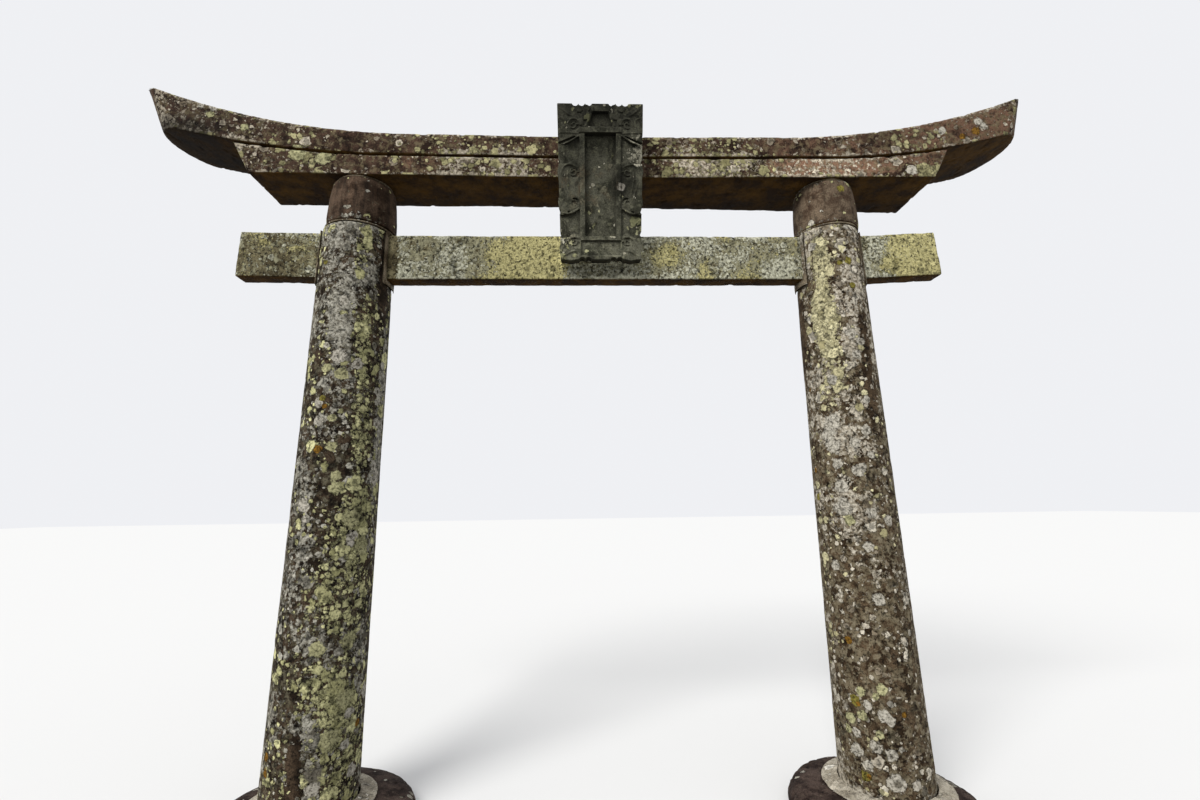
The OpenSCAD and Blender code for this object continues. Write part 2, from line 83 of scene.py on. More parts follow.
# Lumps that wear the stones: width in metres and share of the large and of the small ones.
# A kind's place in this table moves its seed on, since each kind uses two seeds.
LUMPS = {
    "chips": ((0.07, 0.6), (0.025, 0.4)),
    "uneven": ((0.32, 0.65), (0.11, 0.35)),
    "rough": ((0.035, 0.6), (0.016, 0.4)),
    "pits": ((0.045, 0.7), (0.02, 0.3)),
    "rim": ((0.17, 0.7), (0.06, 0.3)),
}


def eased(share):
    """0 to 1 with a level start and end."""
    return share * share * (3 - 2 * share)


def step(value, low, high):
    """0 below low, 1 above high and smooth between them."""
    return eased(np.clip((value - low) / (high - low), 0, 1))


def hashed(cell, seed):
    """A repeatable number from 0 to 1 for each whole-number cell."""
    n = cell @ np.array(CELL_PRIMES) + seed * SEED_PRIME
    n = (n ^ (n >> SHIFTS[0])) * MIX_PRIME
    n = n ^ (n >> SHIFTS[1])
    return (n & LOW_BITS) / LOW_BITS


def lumps(points, size, seed):
    """Smooth noise from 0 to 1 with lumps about that many metres wide."""
    p = points / size
    low = np.floor(p).astype(np.int64)
    f = eased(p - low)
    total = np.zeros(len(p))
    for corner in np.ndindex(2, 2, 2):
        c = np.array(corner)
        total += np.prod(np.where(c == 1, f, 1 - f), axis=1) * hashed(low + c, seed)
    return total


def mixed_lumps(points, kind, seed):
    """The large and the small lumps of one kind together."""
    (large, share), (small, rest) = LUMPS[kind]
    seed += 2 * list(LUMPS).index(kind)
    return share * lumps(points, large, seed) + rest * lumps(points, small, seed + 1)


# New objects and their meshes


def placed(name, data):
    """A new object in the scene."""
    obj = bpy.data.objects.new(name, data)
    bpy.context.scene.collection.objects.link(obj)
    return obj


def made_mesh(obj):
    """The mesh that an object's modifier or bevel makes."""
    depsgraph = bpy.context.evaluated_depsgraph_get()
    return bpy.data.meshes.new_from_object(obj.evaluated_get(depsgraph))


# The camera, and the places that it sees


def make_camera():
    """The camera that sees the gate as the photograph does."""
    camera = placed("camera", bpy.data.cameras.new("camera"))
    camera.data.sensor_width = SENSOR
    camera.data.lens = LENS
    turn = Matrix.Rotation(math.radians(-CAMERA_YAW), 4, "Z")
    turn = turn @ Matrix.Rotation(math.radians(90 + CAMERA_PITCH), 4, "X")
    turn = turn @ Matrix.Rotation(math.radians(CAMERA_ROLL), 4, "Z")
    camera.matrix_world = Matrix.Translation(CAMERA_AT) @ turn
    bpy.context.scene.camera = camera
    return camera


def tree_of(node):
    """A node's faces, ready for rays."""
    mesh = nodes[node].data
    return BVHTree.FromPolygons([v.co for v in mesh.vertices], [p.vertices for p in mesh.polygons])


camera = make_camera()
surfaces = {name: tree_of(name) for name in nodes}


def seen_at(px, py):
    """The point of the gate that the photograph shows at a pixel."""
    sideways = (px - PHOTO_W / 2) / PHOTO_W * SENSOR / LENS
    upwards = (PHOTO_H / 2 - py) / PHOTO_W * SENSOR / LENS
    ray = camera.matrix_world.to_3x3() @ Vector((sideways, upwards, -1)).normalized()
    start = camera.matrix_world.translation
    hits = [tree.ray_cast(start, ray) for tree in surfaces.values()]
    near = min((h for h in hits if h[0] is not None), key=lambda h: h[3], default=None)
    if near is None:
        raise ValueError(f"no part of the gate is seen at {px}, {py}")
    return near[0]


# Materials

# The curve of screen colours
SRGB_KNEE = 11
SRGB_SLOPE = 12.92
SRGB_OFFSET = 0.055
SRGB_POWER = 2.4

# Kinds of noise, each as its detail and roughness
BENT = (2, 0.5)
PLAIN = (3, 0.5)
CLEAR = (4, 0.5)
DRAWN_OUT = (4, 0.6)
MOTTLED = (4, 0.65)
GRAINY = (4, 0.75)
RAGGED = (5, 0.7)
CLOUDY = (6, 0.65)
CRUMBLY = (7, 0.7)

# Sockets of the mix node when it mixes colours
MIX_SHARE = 0
MIX_A = 6
MIX_B = 7
MIX_RESULT = 2

# As shares of a spot's cell: how wide and how far its outline is bent, how wide it is
# frayed and how soft its edge is
BEND_SIZE = 0.45
BEND_REACH = 0.5
FRAY_SIZE = 0.3
SPOT_EDGE = 0.05

# Noise levels with none of a surface above the one and all of it above the other, and
# the mean level
COVERS_NONE = 0.72
COVERS_ALL = 0.32
NOISE_MEAN = 0.5

ROUGHNESS = 0.9
SPECULAR = 0.12


def linear(level):
    """The linear value of a screen colour's level from 0 to 255."""
    if level < SRGB_KNEE:
        return level / 255 / SRGB_SLOPE
    return ((level / 255 + SRGB_OFFSET) / (1 + SRGB_OFFSET)) ** SRGB_POWER


def srgb(red, green, blue):
    """The linear colour of a screen colour given from 0 to 255."""
    return tuple(linear(level) for level in (red, green, blue))


def tones(dark, light):
    """A dark and a light screen colour as linear colours."""
    return srgb(*dark), srgb(*light)


class Shade:
    """A material's node tree, built by short calls, most of which return a socket."""

    def __init__(self, name):
        self.material = bpy.data.materials.new(name)
        self.material.use_nodes = True
        self.nodes = self.material.node_tree.nodes
        self.links = self.material.node_tree.links
        self.surface = self.nodes["Principled BSDF"]
        self.here = self.nodes.new("ShaderNodeTexCoord").outputs["Object"]

    def plug(self, socket, value):
        """Links another node's socket, or sets a plain value."""
        if isinstance(value, bpy.types.NodeSocket):
            self.links.new(value, socket)
        elif socket.type == "RGBA":
            socket.default_value = (*value, 1)
        else:
            socket.default_value = value

    def add(self, kind, **inputs):
        """A node with its inputs set by name."""
        node = self.nodes.new(kind)
        for name, value in inputs.items():
            self.plug(node.inputs[name.replace("_", " ")], value)
        return node

    def math(self, operation, a, b=0.0):
        node = self.nodes.new("ShaderNodeMath")
        node.operation = operation
        self.plug(node.inputs[0], a)
        self.plug(node.inputs[1], b)
        return node.outputs[0]

    def times(self, a, b):
        return self.math("MULTIPLY", a, b)

    def plus(self, a, b):
        return self.math("ADD", a, b)

    def minus(self, a, b):
        return self.math("SUBTRACT", a, b)

    def vector(self, operation, *values):
        node = self.nodes.new("ShaderNodeVectorMath")
        node.operation = operation
        for socket, value in zip(node.inputs, values):
            self.plug(socket, value)
        return node.outputs[0]

    def scaled(self, color, scale):
        node = self.nodes.new("ShaderNodeVectorMath")
        node.operation = "SCALE"
        self.plug(node.inputs[0], color)
        self.plug(node.inputs["Scale"], scale)
        return node.outputs[0]

    def mapped(self, share, low, high):
        """Runs from low to high as the share goes from 0 to 1."""
        return self.add("ShaderNodeMapRange", Value=share, To_Min=low, To_Max=high).outputs["Result"]

    def band(self, value, low, high):
        """0 at low, 1 at high, smooth between; low may be above high."""
        node = self.add("ShaderNodeMapRange", Value=value, From_Min=low, From_Max=high)
        node.interpolation_type = "SMOOTHSTEP"
        return node.outputs["Result"]

    def mix(self, share, a, b):
        """The colour a where the share is 0 and b where it is 1."""
        node = self.nodes.new("ShaderNodeMix")
        node.data_type = "RGBA"
        self.plug(node.inputs[MIX_SHARE], share)
        self.plug(node.inputs[MIX_A], a)
        self.plug(node.inputs[MIX_B], b)
        return node.outputs[MIX_RESULT]

    def shaded(self, color, value, low, high):
        """The colour times a value that runs from low to high as the mask goes from 0 to 1."""
        return self.scaled(color, self.mapped(value, low, high))

    def painted(self, name):
        """What is painted on the mesh under that name."""
        node = self.nodes.new("ShaderNodeAttribute")
        node.attribute_name = name
        return node.outputs["Fac"]

    def noise(self, size, kind=PLAIN, at=None, output="Fac"):
        """Noise of that kind, about that many metres wide."""
        detail, rough = kind
        at = self.here if at is None else at
        node = self.add("ShaderNodeTexNoise", Vector=at, Scale=1 / size, Detail=detail, Roughness=rough)
        return node.outputs[output]

    def warped(self, size, reach):
        """Positions pushed about by noise, so that what is drawn on them loses its even outline."""
        pushes = self.noise(size, BENT, output="Color")
        return self.vector("MULTIPLY_ADD", pushes, (reach, reach, reach), self.here)

    def streaks(self, across, up):
        """Noise drawn out upwards."""
        at = self.vector("MULTIPLY", self.here, (1.0, 1.0, across / up))
        return self.noise(across, DRAWN_OUT, at)

    def crumbs(self, size, cover, sharp=0.025):
        """Ragged islands that take up about that share of the surface."""
        field = self.noise(size, CRUMBLY)
        level = self.mapped(cover, COVERS_NONE, COVERS_ALL)
        return self.band(self.minus(field, level), 0.0, sharp)

    def spots(self, size, share, least, most, ragged):
        """Roundish spots, one to a cell. Gives the mask, how deep inside the spot, and its own number."""
        at = self.warped(size * BEND_SIZE, size * BEND_REACH)
        cell = self.add("ShaderNodeTexVoronoi", Vector=at, Scale=1 / size)
        own = self.add("ShaderNodeSeparateColor", Color=cell.outputs["Color"]).outputs
        radius = self.mapped(own[0], least, most)
        fray = self.times(self.minus(self.noise(size * FRAY_SIZE, MOTTLED), NOISE_MEAN), ragged)
        inside = self.plus(self.minus(radius, cell.outputs["Distance"]), fray)
        shown = self.math("LESS_THAN", own[1], share)
        inside = self.minus(inside, self.minus(1.0, shown))
        return self.band(inside, 0.0, SPOT_EDGE), inside, own[2]

    def finish(self, color, height, relief, roughness=ROUGHNESS):
        """Plugs in the colour and a relief that many metres high, and gives the material."""
        self.plug(self.surface.inputs["Base Color"], color)
        self.plug(self.surface.inputs["Roughness"], roughness)
        self.surface.inputs["Specular IOR Level"].default_value = SPECULAR
        bump = self.add("ShaderNodeBump", Height=height, Distance=relief)
        self.links.new(bump.outputs["Normal"], self.surface.inputs["Normal"])
        return self.material


# Widths of what is drawn on the pieces, in metres
SIZE = {
    "patches": 0.22, "grain": 0.006, "cracks": 0.012, "bare clouds": 0.1, "blush": 0.07,
    "film": 0.035, "film tone": 0.03, "grey crust": 0.03, "grey tone": 0.018,
    "sunny crust": 0.024, "sunny tone": 0.014, "gaps": 0.045, "wobble": 0.028,
    "single tone": 0.012, "flecks": 0.02, "under clouds": 0.12, "rust": 0.01, "rust grain": 0.004,
}
# Streaks: how wide and how long, in metres
STREAKS = (0.035, 0.4)

# Where a mask starts and where it is full, in the noise or depth that it is cut from
CUT = {
    "grain": (0.3, 0.7), "cracks": (0.39, 0.46), "bare clouds": (0.38, 0.62),
    "grey patches": (0.75, 0.3), "shade": (-0.14, -0.01), "single shade": (0.42, 0.5),
    "streaks": (0.5, 0.62), "under clouds": (0.35, 0.68),
}
# How soft the edges of some crumbs are, in their noise
EDGE = {"blush": 0.1, "film": 0.06, "gaps": 0.03, "flecks": 0.02}

# What a colour is multiplied by where its mask is 0 and where it is 1
FACTOR = {
    "bare grain": (0.4, 1.5), "crust grain": (0.8, 1.2), "under grain": (0.6, 1.4),
    # Darkening by real stains and by painted shade in nooks and under things
    "cracks": (0.55, 1.05), "shade": (1.0, 0.6), "hollow": (1.0, 0.35), "stain": (1.0, 0.25),
}
# How strongly the blush and the film show where they cover the stone
BLUSH_SHARE = 0.8
FILM_SHARE = 0.75

# The two crusts of round spots. sizes hold each size's width in metres, its share of the
# growth and its tone at the heart, and radius the least and most radius and how frayed it
# is, in cells. own and mottled weigh a spot's own number and its mottling, whose width is
# a share of the size. light is where its tone is lightest, heart where its heart starts
# and is full, edge its tone at the edge and height how far it stands up.
DOTS = dict(
    sizes=((0.028, 0.5, 1.0), (0.05, 0.55, 0.9), (0.095, 0.45, 0.55)),
    radius=(0.16, 0.46, 0.45),
    own=0.7, mottled=0.6, width=0.12, light=0.95,
    heart=(0.08, 0.22), edge=1.15, height=0.3,
)
LEAVES = dict(
    sizes=((0.024, 0.8, 1.12), (0.05, 0.95, 1.12), (0.09, 0.75, 1.12)),
    radius=(0.22, 0.58, 0.6),
    own=0.5, mottled=0.7, width=0.2, light=0.9,
    heart=(0.0, 0.1), edge=0.72, height=0.4,
)

# How much less, and how much darker, the crumbs between the leaves are
LEAVES_FOR_CRUMBS = 0.4
CRUMBS_DARKER = 0.15

# How dark gaps are, and how far noise moves the edge of a single spot
GAP_TONE = 0.42
WOBBLE = 0.95

# The relief in metres, and how far each layer stands up or lies down as a share of it
RELIEF = 0.006
HEIGHT = {
    "grain": 0.3, "grey crust": 0.35, "sunny crust": 0.35, "gaps": 0.5, "single spots": 0.3, "flecks": 0.35,
}

# Single spots: dark and light colour, the shade round the rim and how softly it ends, and
# what is painted at the rim
SINGLE = {
    "white": ((148, 142, 127), (208, 202, 188), 0.7, 0.06),
    "lime": ((144, 141, 104), (194, 190, 146), 0.7, 0.05),
    "olive": ((92, 84, 36), (146, 136, 66), 0.8, 0.05),
    "ochre": ((88, 62, 20), (152, 112, 42), 0.8, 0.05),
    "heart": ((82, 77, 67), (126, 120, 106), 1.0, 0.25),
}
SPOT_RIM = 0.5


# How much of a face each growth takes unless its material says otherwise. fine is how fine
# the crusts are drawn, leaves how far the sunny one grows in leaves, clouds where it is cut
# from its noise, and fleck_tone how dark the flecks are.
COVER = dict(
    sunny=0.0, gaps=0.0, streaks=0.1, fine=1.0, leaves=1.0, clouds=(0.34, 0.62),
    fleck_tone=0.4,
)


class OldStone(Shade):
    """Stone under lichen. Each layer is drawn over the colour and height that it finds."""

    def __init__(self, name, cover):
        super().__init__(name)
        self.cover = {**COVER, **cover}
        self.growth = self.minus(1.0, self.painted("bare"))
        self.patches = self.noise(SIZE["patches"])
        self.grain = self.noise(SIZE["grain"], GRAINY)
        self.cracks = self.cut_noise("cracks", RAGGED)

    def crusty(self, tone, colors, dark=0.3, light=0.7):
        """A crust's colour with its grain and its dark cracks."""
        color = self.mix(self.band(tone, dark, light), *colors)
        color = self.shaded(color, self.grain, *FACTOR["crust grain"])
        return self.shaded(color, self.cracks, *FACTOR["cracks"])

    def cut_noise(self, name, kind):
        """A mask cut from the noise of that name."""
        return self.band(self.noise(SIZE[name], kind), *CUT[name])

    def islands(self, name, amount):
        """Crumbs with the soft edge of that name."""
        return self.crumbs(SIZE[name], amount, EDGE[name])

    def shade(self, mask, low, high):
        """Shades the colour from low to high as the mask goes from 0 to 1."""
        self.color = self.shaded(self.color, mask, low, high)

    def lay(self, mask, color, height):
        """Lays a colour over the stone and raises it."""
        self.color = self.mix(mask, self.color, color)
        self.height = self.plus(self.height, self.times(mask, height))

    def dig(self, mask, tone, depth):
        """Darkens the stone and lowers it."""
        self.shade(mask, 1.0, tone)
        self.height = self.minus(self.height, self.times(mask, depth))

    def spotted(self, amount, colors, kind, reach=1.0):
        """One crust of round spots, each with a dark line round it."""
        for size, share, heart in kind["sizes"]:
            share = self.times(amount, share * reach)
            mask, inside, own = self.spots(size * self.cover["fine"], share, *kind["radius"])
            mottled = self.noise(size * kind["width"], MOTTLED)
            tone = self.plus(self.times(own, kind["own"]), self.times(mottled, kind["mottled"]))
            crust = self.crusty(tone, colors, light=kind["light"])
            crust = self.shaded(crust, self.band(inside, *kind["heart"]), kind["edge"], heart)
            self.shade(self.band(inside, *CUT["shade"]), *FACTOR["shade"])
            self.lay(mask, crust, kind["height"])

    def bare_stone(self, colors, blush):
        """The stone itself, its coloured stains and its grain."""
        self.color = self.mix(self.cut_noise("bare clouds", CLOUDY), *colors)
        amount = self.plus(self.painted("blush"), self.cover["blush"])
        stains = self.times(self.islands("blush", amount), BLUSH_SHARE)
        self.color = self.mix(stains, self.color, blush)
        self.shade(self.band(self.grain, *CUT["grain"]), *FACTOR["bare grain"])
        self.height = self.times(self.grain, HEIGHT["grain"])

    def thin_film(self, colors):
        amount = self.times(self.growth, self.cover["film"])
        veil = self.times(self.islands("film", amount), FILM_SHARE)
        tone = self.noise(SIZE["film tone"], CLEAR)
        self.color = self.mix(veil, self.color, self.crusty(tone, colors))

    def grey_crust(self, colors):
        patches = self.times(self.band(self.patches, *CUT["grey patches"]), self.cover["grey"])
        amount = self.times(self.plus(patches, self.painted("grey")), self.growth)
        mask = self.crumbs(SIZE["grey crust"] * self.cover["fine"], amount)
        tone = self.noise(SIZE["grey tone"], MOTTLED)
        self.lay(mask, self.crusty(tone, colors), HEIGHT["grey crust"])

    def grey_dots(self, colors):
        """Round grey dots, and larger rosettes with a dark heart."""
        amount = self.times(self.plus(self.painted("dots"), self.cover["dots"]), self.growth)
        self.spotted(amount, colors, DOTS)

    def sunny_crust(self, colors):
        """The yellow-green crust in its own patches: crumbs, and the leaves over them."""
        leaves = self.cover["leaves"]
        patches = self.times(self.band(self.patches, *self.cover["clouds"]), self.cover["sunny"])
        amount = self.times(self.plus(patches, self.painted("sunny")), self.growth)
        crumbs = self.times(amount, 1 - LEAVES_FOR_CRUMBS * leaves)
        mask = self.crumbs(SIZE["sunny crust"] * self.cover["fine"], crumbs)
        color = self.crusty(self.noise(SIZE["sunny tone"], MOTTLED), colors)
        self.lay(mask, self.scaled(color, 1 - CRUMBS_DARKER * leaves), HEIGHT["sunny crust"])
        self.spotted(amount, colors, LEAVES, leaves)

    def gaps(self):
        """Gaps where the crusts have fallen off."""
        self.dig(self.islands("gaps", self.cover["gaps"]), GAP_TONE, HEIGHT["gaps"])

    def single_spots(self):
        wobble = self.times(self.minus(self.noise(SIZE["wobble"], RAGGED), NOISE_MEAN), WOBBLE)
        for kind, (dark, light, shade, fade) in SINGLE.items():
            inside = self.plus(self.painted(kind), wobble)
            mask = self.band(inside, SPOT_RIM, SPOT_RIM + fade)
            self.shade(self.band(inside, *CUT["single shade"]), 1.0, shade)
            tone = self.noise(SIZE["single tone"], MOTTLED)
            self.lay(mask, self.crusty(tone, tones(dark, light)), HEIGHT["single spots"])

    def flecks(self):
        self.dig(self.islands("flecks", self.cover["flecks"]), self.cover["fleck_tone"], HEIGHT["flecks"])

    def pits_and_streaks(self):
        """Darker pits, and streaks down the faces."""
        self.shade(self.painted("hollow"), *FACTOR["hollow"])
        self.shade(self.band(self.streaks(*STREAKS), *CUT["streaks"]), 1.0, 1 - self.cover["streaks"])

    def underside(self, colors):
        """The brown undersides, where little grows, their darkness partly painted shade."""
        below = self.mix(self.cut_noise("under clouds", CLOUDY), *colors)
        below = self.shaded(below, self.grain, *FACTOR["under grain"])
        self.color = self.mix(self.painted("under"), self.color, below)

    def stains(self):
        """Darkens stains and painted shade, then sets each part's tone, which on edges is partly painted
        highlight.
        """
        self.shade(self.painted("stain"), *FACTOR["stain"])
        self.color = self.scaled(self.color, self.plus(self.painted("tone"), 1.0))


# Dark and light colours that stones share, where the undersides' colour is partly painted
# shade, their stains' colour, and rust
STONE = ((30, 22, 13), (78, 64, 50))
FILM = ((80, 73, 56), (120, 115, 96))
SUNNY = ((152, 149, 106), (218, 214, 162))
GREY = ((100, 95, 82), (188, 184, 170))
SOFFIT = ((36, 21, 5), (90, 64, 26))
BLUSH = (98, 78, 62)
RUST = ((58, 36, 24), (112, 66, 38))


def weathered(name, cover, stone=STONE, blush=BLUSH, film=FILM, sunny=SUNNY, grey=GREY, soffit=SOFFIT):
    """A material of stone under lichen.

    stone, film, sunny, grey and soffit each hold the dark and light colour of the bare
    stone, its thin film, its two crusts and its underside, which is partly painted shade.
    blush is its coloured stains.
    """
    s = OldStone(name, cover)
    s.bare_stone(tones(*stone), srgb(*blush))
    s.thin_film(tones(*film))
    s.grey_crust(tones(*grey))
    s.grey_dots(tones(*grey))
    s.sunny_crust(tones(*sunny))
    s.gaps()
    s.single_spots()
    s.flecks()
    s.pits_and_streaks()
    s.underside(tones(*soffit))
    s.stains()
    return s.finish(s.color, s.height, RELIEF)


def rusty_iron():
    """The iron of the plaque's pins and cramps."""
    s = Shade("iron")
    color = s.mix(s.noise(SIZE["rust"], CLEAR), *tones(*RUST))
    return s.finish(color, s.noise(SIZE["rust grain"]), relief=0.001, roughness=0.8)


STONES = {
    "left_shaft": dict(
        cover=dict(blush=0.3, sunny=0.45, grey=0.7, dots=0.75, film=0.58, flecks=0.36, gaps=0.42),
    ),
    "right_shaft": dict(
        stone=((46, 34, 21), (96, 80, 61)), blush=(120, 97, 77),
        film=((102, 91, 71), (150, 140, 116)), sunny=((162, 154, 116), (224, 216, 174)),
        grey=((128, 116, 97), (216, 208, 190)),
        cover=dict(
            blush=0.35, sunny=0.28, grey=0.72, dots=0.75, film=0.64, flecks=0.36, gaps=0.34, leaves=0.6,
        ),
    ),
    "left_drum": dict(
        stone=((46, 33, 23), (90, 73, 59)), blush=(112, 92, 76),
        cover=dict(blush=0.25, grey=0.05, dots=0.05, film=0.3, flecks=0.15, streaks=0.4),
    ),
    "right_drum": dict(
        stone=((68, 53, 41), (112, 97, 80)), blush=(128, 112, 91),
        film=((92, 82, 66), (124, 114, 95)),
        cover=dict(blush=0.4, grey=0.12, dots=0.05, film=0.35, flecks=0.12, streaks=0.35),
    ),
    "beam": dict(
        stone=((76, 68, 48), (124, 116, 88)), blush=(112, 104, 80),
        film=((130, 127, 102), (176, 173, 142)), sunny=((156, 148, 100), (206, 198, 144)),
        grey=((138, 136, 117), (206, 205, 182)),
        cover=dict(
            blush=0.2, sunny=0.6, grey=0.85, dots=0.2, film=0.8, flecks=0.4, fleck_tone=0.24, fine=0.6,
            gaps=0.2, leaves=0.15, clouds=(0.5, 0.6),
        ),
    ),
    "lintel": dict(
        stone=((40, 27, 19), (86, 66, 53)), blush=(124, 95, 76),
        film=((86, 75, 54), (122, 111, 86)), sunny=((116, 111, 78), (180, 173, 130)),
        grey=((112, 100, 83), (198, 188, 168)),
        cover=dict(
            blush=0.32, sunny=0.2, grey=0.45, dots=0.5, film=0.56, flecks=0.3, fine=0.85, gaps=0.22,
        ),
    ),
    "base": dict(
        stone=((38, 28, 24), (76, 63, 56)), blush=(76, 60, 58),
        film=((70, 60, 50), (94, 84, 73)),
        cover=dict(blush=0.3, grey=0.12, dots=0.2, film=0.35, flecks=0.3),
    ),
    "collar": dict(
        stone=((134, 126, 111), (188, 180, 163)), blush=(154, 142, 125),
        film=((144, 136, 119), (180, 172, 153)), grey=((158, 151, 136), (212, 207, 194)),
        cover=dict(blush=0.2, grey=0.4, dots=0.2, film=0.5, flecks=0.3, fleck_tone=0.6),
    ),
    "mortar": dict(
        stone=((84, 72, 56), (134, 122, 102)), blush=(114, 98, 80),
        film=((100, 90, 72), (134, 124, 104)), grey=((124, 116, 100), (192, 186, 171)),
        cover=dict(blush=0.2, sunny=0.05, grey=0.45, dots=0.3, film=0.4, flecks=0.3),
    ),
    "slate": dict(
        stone=((46, 46, 37), (82, 81, 69)), blush=(80, 71, 56),
        film=((70, 69, 55), (102, 101, 85)), sunny=((96, 96, 70), (160, 157, 124)),
        # The slate's dark underside colour is partly painted shade under its carving
        grey=((98, 95, 80), (170, 166, 148)), soffit=((20, 18, 12), (40, 38, 28)),
        cover=dict(blush=0.2, sunny=0.04, grey=0.06, dots=0.1, film=0.5, flecks=0.12),
    ),
}
materials = {name: weathered(name, **stone) for name, stone in STONES.items()}
materials["iron"] = rusty_iron()

# Where things grow


def zone(px, py, across, up, **changes):
    """Where a pixel lies on the gate, how far the zone reaches from there, and its changes."""
    return np.array(seen_at(px, py)), (across, across, up), changes
